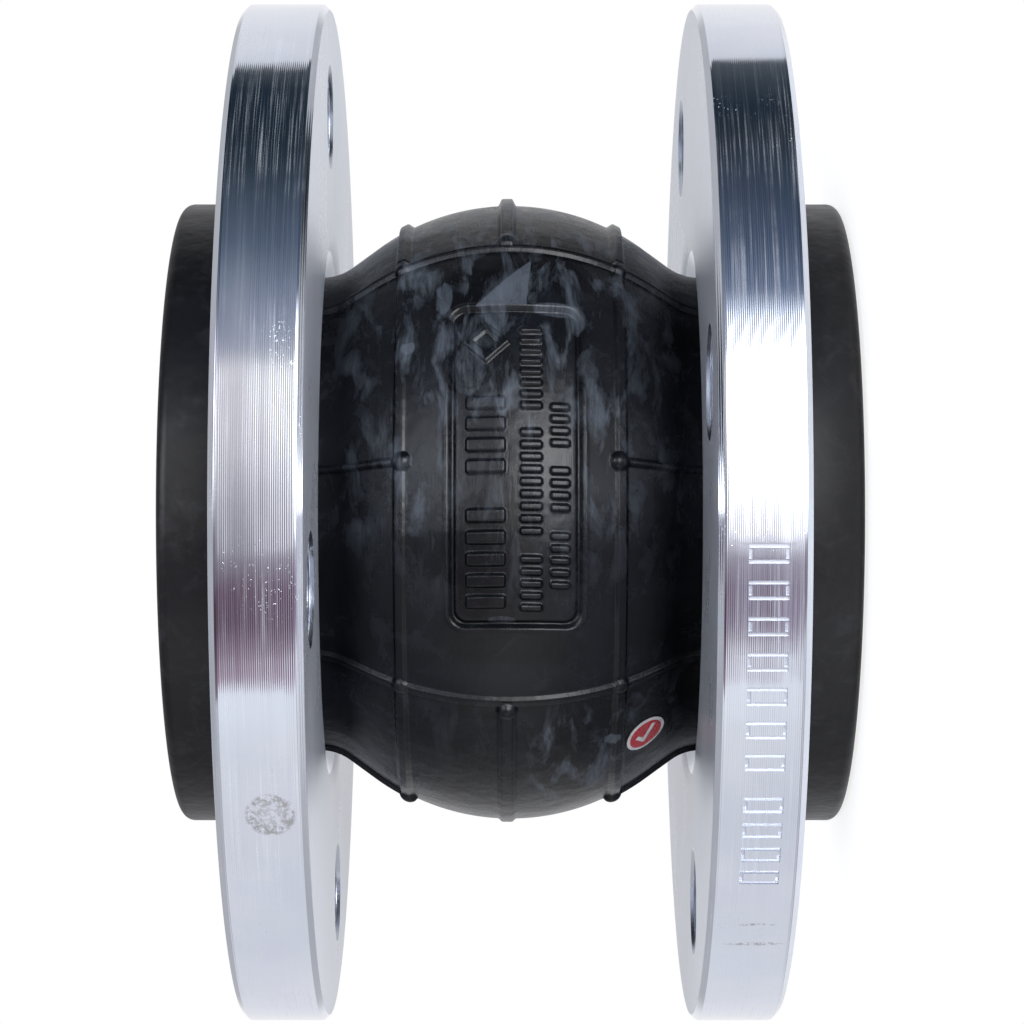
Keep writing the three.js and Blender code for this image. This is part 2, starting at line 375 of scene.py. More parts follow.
def wiped_marks(angle, across):
    """Pale wiped patches and scuffs with clear edges."""
    shape = np.zeros(np.broadcast(angle, across).shape)
    wedge = np.minimum(np.minimum((angle - 38.6) / 0.8, (3.0 + (angle - 38.7) * 0.07 - across) / 0.4),
                       (across + 6.8 - (angle - 38.7) * 0.80) / 0.5)
    shape = np.maximum(shape, 0.75 * smooth(wedge))
    patches = [
        {"angle": 42.5, "across": -11.5, "half_angle": 4.5, "half_across": 1.7, "share": 0.6},
        {"angle": 38.8, "across": 8.0, "half_angle": 1.6, "half_across": 4.2, "share": 0.6},
        {"angle": 37.0, "across": 11.4, "half_angle": 3.5, "half_across": 1.3, "share": 0.55},
        {"angle": 32.3, "across": -17.4, "half_angle": 1.4, "half_across": 1.3, "share": 0.75},
        {"angle": -48.5, "across": 17.6, "half_angle": 1.5, "half_across": 1.4, "share": 1.0},
        {"angle": 26.0, "across": -7.2, "half_angle": 5.5, "half_across": 3.4, "share": 0.5},
        {"angle": -19.0, "across": -1.5, "half_angle": 0.9, "half_across": 2.6, "share": 0.5},
    ]
    for patch in patches:
        far = np.hypot(turn_between(angle, patch["angle"]) / patch["half_angle"],
                       (across - patch["across"]) / patch["half_across"])
        shape = np.maximum(shape, patch["share"] * smooth((1 - far) / 0.35 + 0.5))
    return shape


def graded(low, high, coarse, spans):
    """Positions from low to high, closer together inside the (start, end, step) spans."""
    cuts = sorted({low, high, *[c for span in spans for c in span[:2] if low < c < high]})
    parts = []
    for start, end in zip(cuts, cuts[1:]):
        middle = (start + end) / 2
        step = min([coarse] + [s[2] for s in spans if s[0] < middle < s[1]])
        parts.append(np.linspace(start, end, max(1, math.ceil((end - start) / step)), endpoint=False))
    return np.append(np.concatenate(parts), high)


def wall_points(depth, heights, angles, relief=0.0):
    """Points of the wall at a depth and raised by the relief, for every height and angle paired."""
    radius, slope = wall_radius(depth, heights)
    lean = np.hypot(1, slope)
    reach = radius + relief / lean
    rise = heights - relief * (slope / lean)
    turn = np.radians(angles)
    return np.stack(np.broadcast_arrays(reach * np.sin(turn), -reach * np.cos(turn), rise), axis=-1)


def grid_normals(points):
    """Outward normals of a grid of points that closes on itself across its columns."""
    up = np.gradient(points, axis=0)
    wrapped = np.concatenate([points[:, -1:], points, points[:, :1]], axis=1)
    around = (wrapped[:, 2:] - wrapped[:, :-2]) / 2
    normals = np.cross(around, up)
    return normals / np.linalg.norm(normals, axis=-1, keepdims=True)


def ring_faces(first, second, columns, flip=False):
    """Quads between two rows of points, given by the index of each row's first point."""
    here = np.arange(columns)
    after = (here + 1) % columns
    quads = np.stack([first + here, first + after, second + after, second + here], axis=1)
    return quads[:, ::-1] if flip else quads


def wall_stretch(name, outer, inner, material, normals=None):
    """A closed ring between an outer and an inner grid of points, both going up."""
    rows, columns = outer.shape[:2]
    inner_rows = inner.shape[0]
    base = rows * columns
    faces = [ring_faces(i * columns, (i + 1) * columns, columns) for i in range(rows - 1)]
    outer_count = (rows - 1) * columns
    faces += [
        ring_faces(base + i * columns, base + (i + 1) * columns, columns, flip=True)
        for i in range(inner_rows - 1)
    ]
    faces.append(ring_faces(0, base, columns, flip=True))
    faces.append(ring_faces((rows - 1) * columns, base + (inner_rows - 1) * columns, columns))
    faces = np.concatenate(faces)
    points = np.concatenate([outer.reshape(-1, 3), inner.reshape(-1, 3)])
    made = make_object(name, points, faces.tolist(), material)
    if normals is not None:
        set_skin_normals(made.data, normals.reshape(-1, 3), outer_count, faces)
    return made


def set_skin_normals(mesh, normals, skin_faces, faces):
    """Gives the skin the whole arch's normals, so that no join shows between two stretches."""
    wanted = np.zeros((len(faces) * 4, 3))
    wanted[: skin_faces * 4] = normals[faces[:skin_faces].reshape(-1)]
    mesh.normals_split_custom_set(wanted.tolist())


def rows_between(heights, low, high):
    """Which of the heights lie in a stretch, both ends included."""
    return np.where((heights > low - 1e-6) & (heights < high + 1e-6))[0]


def stretch_limits(index, bottom):
    """Lowest and highest point of a stretch of a layer that starts at bottom."""
    low = bottom if index == 0 else CUTS[index]
    high = LENGTH - bottom if index == len(STRETCHES) - 1 else CUTS[index + 1]
    return low, high


def bend_between(piece):
    """Bakes the piece's transform into its mesh."""
    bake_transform(piece)


def cover_angles():
    """Angles of the cover's columns, closer together at the seams, short ribs and panel."""
    panel_half = math.degrees(PANEL["half_length"] / CREST) + 1.5
    spans = [(PANEL["angle"] - panel_half, PANEL["angle"] + panel_half, TURN_STEP["panel"])]
    spans.append((PANEL["angle"] + panel_half, SEAM_ANGLES[0], TURN_STEP["beside"]))
    for angle in SEAM_ANGLES:
        spans.append((angle - 4, angle + 4, TURN_STEP["rib"]))
    for angle in SHORT_RIB_ANGLES:
        centre = turn_between(angle, 0)
        spans.append((centre - 2, centre + 2, TURN_STEP["rib"]))
    return graded(-180.0, 180.0, TURN_STEP["plain"], spans)[:-1]


def cover_heights(bottom):
    """Heights of the cover's rows, closer together at the ribs and the panel."""
    panel_at = MIDDLE - PANEL["across"]
    spans = [(panel_at - 12.5, panel_at + 12.5, RISE_STEP["panel"])]
    for side in (-SIDE_RIB, 0, SIDE_RIB):
        spans.append((MIDDLE + side - 2.2, MIDDLE + side + 2.2, RISE_STEP["rib"]))
    spans += [(cut, cut + 1, RISE_STEP["plain"]) for cut in CUTS]
    return graded(bottom, LENGTH - bottom, RISE_STEP["plain"], spans)


def build_cover(material):
    """The outer cover, in stretches between the cuts."""
    _, inner_depth, bottom, _ = LAYERS["outer_cover"]
    angles = cover_angles()
    heights = cover_heights(bottom)
    relief = skin_relief(angles[None, :], heights[:, None])
    outer = wall_points(0, heights[:, None], angles, relief)
    normals = grid_normals(outer)
    angle_grid, across_grid = np.meshgrid(angles, MIDDLE - heights)
    values = {
        "turn": angle_grid,
        "across": across_grid,
        # Chalk share, with a painted sheen on the arch's top and painted shade at the necks.
        "chalk_and_painted_light": dust_and_painted_light(angle_grid, across_grid),
        "wiped": wiped_marks(angle_grid, across_grid),
    }
    for index, stretch in enumerate(STRETCHES):
        low, high = stretch_limits(index, bottom)
        rows = rows_between(heights, low, high)
        inner = wall_points(inner_depth, np.linspace(low, high, COVER_INNER_ROWS)[:, None], angles)
        piece = wall_stretch(f"cover_{stretch}", outer[rows], inner, material, normals[rows])
        for name, grid in values.items():
            keep_value(piece.data, name, grid[rows])
        finish_stretch(piece, "outer_cover")


def build_layer(node, material):
    """A hidden layer of the wall, in the same stretches as the cover."""
    outer_depth, inner_depth, bottom, foot_radius = LAYERS[node]
    angles = np.arange(LAYER_COLUMNS) * 360 / LAYER_COLUMNS
    for index, stretch in enumerate(STRETCHES):
        low, high = stretch_limits(index, bottom)
        heights = np.linspace(low, high, LAYER_ROWS)[:, None]
        outer = wall_points(outer_depth, heights, angles)
        inner = wall_points(inner_depth, heights, angles)
        if foot_radius and index == 0:
            outer = add_foot(outer, angles, foot_radius, bottom, 1.0)
        if foot_radius and index == len(STRETCHES) - 1:
            outer = add_foot(outer[::-1], angles, foot_radius, LENGTH - bottom, -1.0)[::-1]
        piece = wall_stretch(f"{node}_{stretch}", outer, inner, material)
        finish_stretch(piece, node)


def add_foot(outer, angles, radius, face, thickness):
    """Turns a ply's end outwards: the foot's rim, then its back face, then up the wall."""
    turn = np.radians(angles)
    ring = np.stack([np.sin(turn), -np.cos(turn), np.zeros_like(turn)], axis=-1)
    rim = ring * radius + [0, 0, face]
    rim_back = ring * radius + [0, 0, face + thickness]
    root = outer[0].copy()
    root[:, 2] = face + thickness
    beyond = outer[:, 0, 2] * np.sign(thickness) > (face + thickness) * np.sign(thickness)
    return np.concatenate([[rim], [rim_back], [root], outer[beyond]])


def finish_stretch(piece, node):
    """A stretch hides its CAD node and has its transform baked."""
    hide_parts(node)
    bend_between(piece)


# ---- flanges, collars and bead cores


def flange_section():
    """Section of the lower flange, as the CAD has it, with finer rounds."""
    f = FLANGE
    round_at = (f["bore"] + f["bore_edge"], f["inner_face"] - f["bore_edge"])
    rim, edge = f["radius"], f["rim_edge"]
    soft, flat, nick = 0.35, 0.2, 0.06
    corner = [
        (rim - edge - soft - flat, 0),
        (rim - edge - soft, 0),
        (rim - edge, nick),
        (rim - nick, edge),
        (rim, edge + soft),
        (rim, edge + soft + flat),
    ]
    return [
        (f["groove"], f["outer_face"] + f["seat_depth"]),
        (f["seat"], f["outer_face"] + f["seat_depth"]),
        (f["seat"], f["outer_face"]),
        *[(r, f["outer_face"] + z) for r, z in corner],
        *[(r, f["inner_face"] - z) for r, z in reversed(corner)],
        (round_at[0] + 0.4, f["inner_face"]),
        *rounded(round_at, f["bore_edge"], 90, 180, 10),
        (f["bore"], f["outer_face"] + f["groove_depth"]),
        (f["groove"], f["outer_face"] + f["groove_depth"]),
    ]


def hole_cutter(material):
    """A drill for one bolt hole that also breaks the edge on both faces."""
    low = FLANGE["outer_face"]
    high = FLANGE["inner_face"]
    wide = BOLT_HOLE + HOLE_CHAMFER
    rows = [
        (wide + 1, low - 1),
        (wide, low),
        (BOLT_HOLE, low + HOLE_CHAMFER),
        (BOLT_HOLE, high - HOLE_CHAMFER),
        (wide, high),
        (wide + 1, high + 1),
    ]
    sides = 72
    faces = []
    for i in range(len(rows) - 1):
        faces += ring_faces(i * sides, (i + 1) * sides, sides).tolist()
    faces.append(list(range(sides))[::-1])
    faces.append([(len(rows) - 1) * sides + k for k in range(sides)])
    return make_object("drill", spun(rows, sides), faces, material)


def cut(piece, cutter):
    """Removes the cutter's shape from the piece."""
    step = piece.modifiers.new("cut", "BOOLEAN")
    step.object = cutter
    step.operation = "DIFFERENCE"
    step.solver = "EXACT"
    graph = bpy.context.evaluated_depsgraph_get()
    result = bpy.data.meshes.new_from_object(piece.evaluated_get(graph))
    piece.modifiers.clear()
    old = piece.data
    piece.data = result
    bpy.data.meshes.remove(old)
    bpy.data.objects.remove(cutter)


def stamp_cutter(material):
    """Blank characters pressed into the lower flange's rim, each outlined by four strokes."""
    stroke, depth = STAMP["stroke"], STAMP["depth"]
    across = (STAMP["wide"] - stroke) / 2
    up = (STAMP["tall"] - stroke) / 2
    short = STAMP["wide"] - 2 * stroke - 2 * STAMP["gap"]
    strokes = [(-across, 0, stroke, STAMP["tall"]), (across, 0, stroke, STAMP["tall"]),
               (0, -up, short, stroke), (0, up, short, stroke)]
    middle = PLATE_MIDDLE - 0.5
    points, faces = [], []
    for first, last, count in STAMP_GROUPS:
        for angle in np.radians(np.linspace(first, last, count)):
            out = np.array([math.sin(angle), -math.cos(angle), 0])
            along = np.array([math.cos(angle), math.sin(angle), 0])
            for offset, lift, wide, tall in strokes:
                centre = out * FLANGE["radius"] + along * offset + [0, 0, middle + lift]
                base = len(points)
                for level in (-depth, 1.0):
                    for side, turn in ((-1, -1), (1, -1), (1, 1), (-1, 1)):
                        corner = along * wide / 2 * side + np.array([0, 0, tall / 2 * turn])
                        points.append(centre + out * level + corner)
                faces += [(base, base + 3, base + 2, base + 1), (base + 4, base + 5, base + 6, base + 7)]
                faces += ring_faces(base, base + 4, 4).tolist()
    return make_object("stamp", points, faces, material)


def build_flange(end, materials):
    """One loose flange with four bolt holes; its rim, faces and holes have their own finish."""
    upper = end == "upper"
    piece = lathe(f"{end}_flange_plate", flange_section(), materials[0], sides=256, upper=upper)
    for i in range(BOLT_COUNT):
        turn = math.radians(HOLE_TURNS[end] + 360 * i / BOLT_COUNT)
        cutter = hole_cutter(materials[0])
        lift = LENGTH - 2 * PLATE_MIDDLE if upper else 0
        place = (BOLT_CIRCLE * math.cos(turn), BOLT_CIRCLE * math.sin(turn), lift)
        cutter.matrix_world = Matrix.Translation(Vector(place) * MM)
        bpy.context.view_layer.update()
        cut(piece, cutter)
    if not upper:
        cut(piece, stamp_cutter(materials[0]))
    mesh = piece.data
    mesh.materials.clear()
    for material in materials:
        mesh.materials.append(material)
    mesh.polygons.foreach_set("material_index", flange_face_slots(mesh))
    attribute = mesh.attributes.get("rest")
    if attribute:
        mesh.attributes.remove(attribute)
    soften(mesh, FLANGE_SHARP_ANGLE)
    keep_rest_place(mesh)
    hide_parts(f"{end}_flange")
    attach(piece, f"{end}_flange")


def flange_face_slots(mesh):
    """0 for the rim, 1 for the flat faces and the stamp's floors, 2 for bores and holes."""
    slots = []
    for face in mesh.polygons:
        level = abs(face.normal.z)
        depth = FLANGE["radius"] - math.hypot(face.center.x, face.center.y) / MM
        stamped = level < 0.1 and STAMP["depth"] / 2 < depth < 2 * STAMP["depth"]
        if level > 0.9 or stamped:
            slots.append(1)
        elif level < 0.1 and depth > STAMP["depth"] / 2:
            slots.append(2)
        else:
            slots.append(0 if depth < 1.5 * FLANGE["rim_edge"] else 2)
    return slots


def collar_section():
    """Section of the lower collar: face, rounded rim, hook, and the pocket for the bead core."""
    outer = collar_high[0]
    top = FLANGE["outer_face"] + FLANGE["seat_depth"] - FIT
    hook_top = collar_high[2]
    hook = 51.8
    lip = NECK + FIT
    lip_height = hook_top - 1.5
    pocket = 48.9
    floor = cad_box("inner_tube")[0][2] - FIT
    corner = 2.0
    groove = ((0.0, 0.0), (0.4, 0.25), (1.2, 0.25), (1.6, 0.0))
    return [
        (BORE + 1.0, 0.0),
        *[(start + along, deep) for start in (40.0, 46.0) for along, deep in groove],
        *rounded((outer - corner, corner), corner, -90, 0, 10),
        (outer, top - 0.6),
        *rounded((outer - 0.6, top - 0.6), 0.6, 0, 90, 4),
        (hook, top),
        *rounded((hook - 1.5, hook_top - 1.5), 1.5, 0, 90, 5),
        (lip, hook_top),
        (lip, lip_height),
        (pocket, lip_height),
        (pocket, floor),
        (BORE, floor),
        *rounded((BORE + 1.0, 1.0), 1.0, 180, 250, 4),
    ]


def build_end(end, looks):
    """The collar, hoops and filler of one end."""
    upper = end == "upper"
    collar = lathe(f"{end}_sealing_collar", collar_section(), looks["collar"], sides=192, upper=upper)
    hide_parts(f"{end}_collar")
    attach(collar, f"{end}_end")
    wire = 1.0
    step = 2 * wire + FIT
    for row in range(2):
        for column in range(2):
            number = row * 2 + column + 1
            centre = (FIRST_HOOP + column * step, cover_low[2] + wire + row * step)
            section = rounded(centre, wire, 0, 360, 14)[:-1]
            hoop = lathe(f"{end}_bead_hoop_{number}", section, looks["hoop"], upper=upper)
            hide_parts(f"{end}_hoop_wire_{number}")
            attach(hoop, f"{end}_end")
    base = cover_low[2] + 2 * step
    wedge = ((43.7, 0.0), (48.6, 0.0), (47.8, 1.5), (47.3, 1.7), (45.0, 1.7), (44.5, 1.5))
    section = [(radius, base + lift) for radius, lift in wedge]
    filler = lathe(f"{end}_apex_filler", section, looks["filler"], upper=upper)
    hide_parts(f"{end}_bead_filler")
    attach(filler, f"{end}_end")


# ---- inspection label


def skin_patch(name, outline, lift, thickness, material):
    """A thin closed sheet on the skin: outline is a closed ring of (along, up) points about its centre."""
    centre = (label_low + label_high) / 2
    angle = math.degrees(math.atan2(centre[0], -centre[1]))
    radius, slope = wall_radius(0, np.array(centre[2]))
    lean = math.hypot(1, float(slope))
    rings = [0.35, 0.7, 1.0]
    middle = np.mean(outline, axis=0)
    flat = np.concatenate([[middle], *[middle + (np.array(outline) - middle) * s for s in rings]])
    heights = centre[2] + flat[:, 1] / lean
    angles = angle + np.degrees(flat[:, 0] / float(radius))
    sheets = [wall_points(0, heights, angles, level) for level in (lift, lift + thickness)]
    count = len(outline)
    size = len(flat)
    faces = []
    for k in range(count):
        m = (k + 1) % count
        faces.append((0, 1 + m, 1 + k))
        faces.append((size, size + 1 + k, size + 1 + m))
        for ring in range(len(rings) - 1):
            a = 1 + ring * count
            b = a + count
            faces.append((a + k, a + m, b + m, b + k))
            faces.append((size + a + k, size + b + k, size + b + m, size + a + m))
        last = 1 + (len(rings) - 1) * count
        faces.append((last + k, last + m, size + last + m, size + last + k))
    piece = make_object(name, np.concatenate(sheets), faces, material)
    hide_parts("inspection_label")
    bend_between(piece)


def build_label(looks):
    """A white-edged red disc with a white tick."""
    disc = np.radians(np.arange(64) * 360 / 64)
    circle = np.stack([np.cos(disc), np.sin(disc)], axis=-1)
    skin_patch("label_film", circle * LABEL["film"], LABEL["lift"], 0.14, looks["label_white"])
    skin_patch("label_disc", circle * LABEL["disc"], 0.25, LABEL["ink"], looks["label_red"])
    bars = {"short": ((0.1, 1.7), (-1.3, 0.5)), "long": ((-1.3, 0.5), (1.9, -1.5))}
    for name, (start, end) in bars.items():
        start, end = np.array(start), np.array(end)
        lean = (end - start) / np.linalg.norm(end - start)
        side = np.array([-lean[1], lean[0]]) * LABEL["half_stroke"]
        start, end = start - lean * LABEL["overlap"], end + lean * LABEL["overlap"]
        outline = np.array([start - side, end - side, end + side, start + side])
        skin_patch(f"label_tick_{name}", outline, 0.30, LABEL["ink"], looks["label_white"])


# ---- materials


def plug(tree, node, inputs):
    """Sets inputs of a node, each to a value or to another node's socket."""
    for key, value in inputs.items():
        if isinstance(value, bpy.types.NodeSocket):
            tree.links.new(value, node.inputs[key])
        else:
            node.inputs[key].default_value = value


def add(tree, kind, inputs=None, **settings):
    """A new node with its settings and inputs."""
    made = tree.nodes.new(kind)
    for key, value in settings.items():
        setattr(made, key, value)
    plug(tree, made, inputs or {})
    return made


def new_material(name):
    """A material with a Principled shader; returns it, its node tree and the shader."""
    material = bpy.data.materials.new(name)
    material.use_nodes = True
    tree = material.node_tree
    return material, tree, tree.nodes["Principled BSDF"]


def rest_place(tree):
    """The point's place at rest."""
    return add(tree, "ShaderNodeAttribute", attribute_name="rest").outputs["Vector"]


def vectors(tree, operation, first, second=(0.0, 0.0, 0.0)):
    """One step of arithmetic on vectors; LENGTH gives a number."""
    node = add(tree, "ShaderNodeVectorMath", {0: first, 1: second}, operation=operation)
    return node.outputs["Value" if operation == "LENGTH" else "Vector"]


def noise(tree, vector, scale, detail=3.0, roughness=0.55, distortion=0.0):
    """Noise from 0 to 1."""
    inputs = {"Vector": vector, "Scale": scale, "Detail": detail, "Roughness": roughness}
    inputs["Distortion"] = distortion
    return add(tree, "ShaderNodeTexNoise", inputs).outputs["Fac"]


def fitted(tree, value, low, high, to_low=0.0, to_high=1.0):
    """The value taken from one range to another, and held at the ends."""
    inputs = {"Value": value, "From Min": low, "From Max": high, "To Min": to_low, "To Max": to_high}
    return add(tree, "ShaderNodeMapRange", inputs, interpolation_type="SMOOTHSTEP").outputs["Result"]


def calc(tree, operation, first, second=0.0):
    """One step of arithmetic."""
    return add(tree, "ShaderNodeMath", {0: first, 1: second}, operation=operation).outputs["Value"]


def times(tree, first, second):
    """The product of two numbers."""
    return calc(tree, "MULTIPLY", first, second)


def mixed(tree, share, first, second):
    """A mix of two colours."""
    node = add(tree, "ShaderNodeMix", data_type="RGBA")
    for key, value in (("Factor", share), ("A", first), ("B", second)):
        kind = "VALUE" if key == "Factor" else "RGBA"
        socket = next(s for s in node.inputs if s.name == key and s.type == kind)
        if isinstance(value, bpy.types.NodeSocket):
            tree.links.new(value, socket)
        else:
            socket.default_value = value if key == "Factor" else (*value, 1)
    return next(s for s in node.outputs if s.type == "RGBA")


def bump(tree, height, distance, strength=1.0, under=None):
    """Surface bump from a height of 0 to 1, in metres at full height."""
    inputs = {"Height": height, "Distance": distance, "Strength": strength}
    if under is not None:
        inputs["Normal"] = under
    return add(tree, "ShaderNodeBump", inputs).outputs["Normal"]


def grain_vector(tree, place, step):
    """The place with its Z replaced by the coordinate that the tool marks step along."""
    parts = add(tree, "ShaderNodeSeparateXYZ", {0: place})
    joined = add(tree, "ShaderNodeCombineXYZ", {0: parts.outputs["X"], 1: parts.outputs["Y"], 2: step})
    return joined.outputs["Vector"]


def zinc(name, grain_of, roughness, pitch, slope, haze, matt=0.0):
    """Zinc-plated turned steel. Tool marks step along what grain_of gives; matt is an even dull share."""
    material, tree, shader = new_material(name)
    place = rest_place(tree)
    step, direction = grain_of(tree, place)
    cloud = noise(tree, place, 28.0, 4.0)
    tint = noise(tree, place, 16.0, 3.0, distortion=1.5)
    steel = mixed(tree, fitted(tree, cloud, 0.35, 0.7), (0.66, 0.70, 0.78), (0.74, 0.77, 0.84))
    hued = mixed(tree, fitted(tree, tint, 0.54, 0.75, 0, 0.3), steel, (0.66, 0.58, 0.76))
    cool = mixed(tree, fitted(tree, tint, 0.46, 0.25, 0, 0.35), hued, (0.56, 0.70, 0.80))
    worn = mixed(tree, worn_share(tree, place), cool, (0.42, 0.42, 0.43))
    drawn = vectors(tree, "MULTIPLY", grain_vector(tree, place, step), (30, 30, 2600))
    lines = noise(tree, drawn, 1.0, 3.0, 0.6)
    hazy = times(tree, fitted(tree, lines, 0.48, 0.72),
                 fitted(tree, noise(tree, place, 45.0, 4.0, 0.6), 0.40, 0.66, 0.12, 1.0))
    specks = times(tree, fitted(tree, noise(tree, place, 2600.0, 2.0), 0.66, 0.74),
                   fitted(tree, noise(tree, place, 70.0, 3.0), 0.56, 0.70))
    dull = calc(tree, "ADD", times(tree, hazy, haze), times(tree, specks, 0.3))
    rough = calc(tree, "ADD", fitted(tree, cloud, 0.25, 0.75, roughness, roughness + 0.06),
                 times(tree, specks, 0.35))
    marks = tool_marks(tree, step, direction, place, pitch, slope)
    pits = bump(tree, specks, 0.00003, 0.8, marks)
    dents = bump(tree, noise(tree, place, 350.0, 3.0), 0.000006, 0.6, pits)
    metal = calc(tree, "SUBTRACT", 1.0 - matt, dull)
    plug(tree, shader, {"Base Color": worn, "Metallic": metal, "Roughness": rough, "Normal": dents})
    return material


def tool_marks(tree, step, direction, place, pitch, slope):
    """Normal of a surface with turned grooves: a steady pitch with an uneven depth."""
    uneven = noise(tree, vectors(tree, "MULTIPLY", place, (8, 8, 260)), 1.0, 3.0)
    phase = calc(tree, "ADD", times(tree, step, 2 * math.pi / (pitch * MM)), times(tree, uneven, 5.0))
    depth = fitted(tree, uneven, 0.3, 0.7, 0.5 * slope, 1.4 * slope)
    fine = times(tree, calc(tree, "SINE", phase), depth)
    along = add(tree, "ShaderNodeCombineXYZ", {0: 0.0, 1: 0.0, 2: times(tree, step, 900.0)})
    broad = calc(tree, "SUBTRACT", noise(tree, along.outputs["Vector"], 1.0, 2.0), 0.5)
    lean = calc(tree, "ADD", fine, times(tree, broad, slope))
    turned = add(tree, "ShaderNodeVectorTransform", {"Vector": direction}, vector_type="VECTOR",
                 convert_from="OBJECT", convert_to="WORLD").outputs["Vector"]
    plain = add(tree, "ShaderNodeNewGeometry").outputs["Normal"]
    leaning = vectors(tree, "ADD", plain, vectors(tree, "MULTIPLY", turned, lean))
    return vectors(tree, "NORMALIZE", leaning)


def near_point(tree, place, angle, height, wide, tall):
    """Distance from a point of the rim, 1 at wide mm round the rim or tall mm along the axis."""
    turn = math.radians(angle)
    spot = Vector((math.sin(turn), -math.cos(turn), 0)) * FLANGE["radius"] * MM
    spot.z = height * MM
    away = vectors(tree, "SUBTRACT", place, spot)
    scale = (1 / (wide * MM), 1 / (wide * MM), 1 / (tall * MM))
    return vectors(tree, "LENGTH", vectors(tree, "MULTIPLY", away, scale))


def worn_share(tree, place):
    """Where the plating is dull: a round mark on the upper rim and two smudges on the lower one."""
    mottle = noise(tree, place, 1100.0, 4.0, 0.7)
    away = near_point(tree, place, -31.7, LENGTH - PLATE_MIDDLE - 1.5, 4.2, 4.2)
    ring = times(tree, fitted(tree, away, 1.05, 0.85), fitted(tree, away, 0.1, 0.9, 0.45, 1.0))
    share = times(tree, ring, fitted(tree, mottle, 0.42, 0.56))
    for angle, wide, tall in ((-51.0, 0.7, 6.0), (-47.5, 0.5, 4.0)):
        smudge = fitted(tree, near_point(tree, place, angle, PLATE_MIDDLE - 0.5, wide, tall), 1.0, 0.4)
        dotted = fitted(tree, mottle, 0.46, 0.54)
        share = calc(tree, "MAXIMUM", share, times(tree, smudge, dotted))
    return share


def along_axis(tree, place):
    """Tool marks of a rim or a bore step along Z."""
    return add(tree, "ShaderNodeSeparateXYZ", {0: place}).outputs["Z"], (0.0, 0.0, 1.0)


def along_radius(tree, place):
    """Tool marks of a face step along the radius."""
    flat = vectors(tree, "MULTIPLY", place, (1, 1, 0))
    return vectors(tree, "LENGTH", flat), vectors(tree, "NORMALIZE", flat)


def stored(tree, name):
    """A value kept with each point."""
    return add(tree, "ShaderNodeAttribute", attribute_name=name).outputs["Fac"]


def rubber(name, deep, dusty, chalk_and_painted_light, roughness, dust=0.06):
    """Moulded black rubber with blue-grey mould-release patches, dust and pale wiped marks; the stored
    chalk share also carries a painted sheen and painted shade.
    """
    material, tree, shader = new_material(name)
    place = rest_place(tree)
    round_way = times(tree, stored(tree, "turn"), 0.075)
    side_way = times(tree, stored(tree, "across"), 0.22)
    flat = add(tree, "ShaderNodeCombineXYZ", {0: round_way, 1: side_way}).outputs["Vector"]
    patchy = noise(tree, flat, 1.0, 9.0, 0.66, 0.5)
    hair = noise(tree, vectors(tree, "MULTIPLY", flat, (2.5, 7.0, 1.0)), 1.0, 6.0, 0.72)
    cloud = noise(tree, place, 30.0, 5.0, 0.6, 1.2)
    mottle = noise(tree, place, 170.0, 6.0, 0.65, 0.6)
    streaky_pattern = times(tree, fitted(tree, patchy, 0.48, 0.66), fitted(tree, hair, 0.3, 0.66, 0.35, 1.0))
    # The stored chalk share also paints a sheen of light on the arch's top and shade at its necks.
    smear_and_painted_light = times(tree, streaky_pattern, stored(tree, "chalk_and_painted_light"))
    dusted = times(tree, fitted(tree, mottle, 0.50, 0.72), dust)
    share = calc(tree, "MAXIMUM", smear_and_painted_light, dusted)
    base = mixed(tree, fitted(tree, cloud, 0.35, 0.7), deep, dusty)
    smeared_and_painted_light = mixed(tree, share, base, chalk_and_painted_light)
    ragged = calc(tree, "ADD", stored(tree, "wiped"), times(tree, hair, 0.5))
    wiped = fitted(tree, ragged, 0.62, 0.98, 0.0, 0.6)
    colour = mixed(tree, wiped, smeared_and_painted_light, chalk_and_painted_light)
    rough = calc(tree, "ADD", roughness, times(tree, share, 0.2))
    facing = add(tree, "ShaderNodeLayerWeight", {"Blend": 0.5}).outputs["Facing"]
    gloss = fitted(tree, facing, 0.05, 0.42, 0.36, 0.13)
    grain = bump(tree, noise(tree, place, 1600.0, 3.0), 0.00003, 0.5)
    ripple = bump(tree, hair, 0.00012, 0.5, grain)
    waves = bump(tree, noise(tree, place, 110.0, 3.0), 0.0006, 0.7, ripple)
    plug(tree, shader, {
        "Base Color": colour, "Roughness": rough, "Specular IOR Level": gloss, "Normal": waves})
    return material


def cord_ply(name, lean):
    """Rubberised nylon tyre cord: parallel cords laid on the bias."""
    material, tree, shader = new_material(name)
    place = rest_place(tree)
    parts = add(tree, "ShaderNodeSeparateXYZ", {0: place})
    turn = calc(tree, "ARCTAN2", parts.outputs["Y"], parts.outputs["X"])
    bias = calc(tree, "ADD", times(tree, turn, 220.0), times(tree, parts.outputs["Z"], 4500.0 * lean))
    cords = fitted(tree, calc(tree, "SINE", bias), -1.0, 1.0)
    colour = mixed(tree, cords, (0.10, 0.08, 0.06), (0.52, 0.44, 0.32))
    plug(tree, shader, {"Base Color": colour, "Roughness": 0.8, "Normal": bump(tree, cords, 0.0003)})
    return material


def drawn_wire():
    """Dull drawn wire with fine scratches along it."""
    material, tree, shader = new_material("drawn_wire")
    place = rest_place(tree)
    marks = noise(tree, place, 300.0, 4.0)
    plug(tree, shader, {
        "Base Color": mixed(tree, marks, (0.32, 0.32, 0.33), (0.5, 0.5, 0.5)),
        "Metallic": 1.0,
        "Roughness": fitted(tree, marks, 0.3, 0.7, 0.35, 0.55),
        "Normal": bump(tree, marks, 0.00004),
    })
    return material


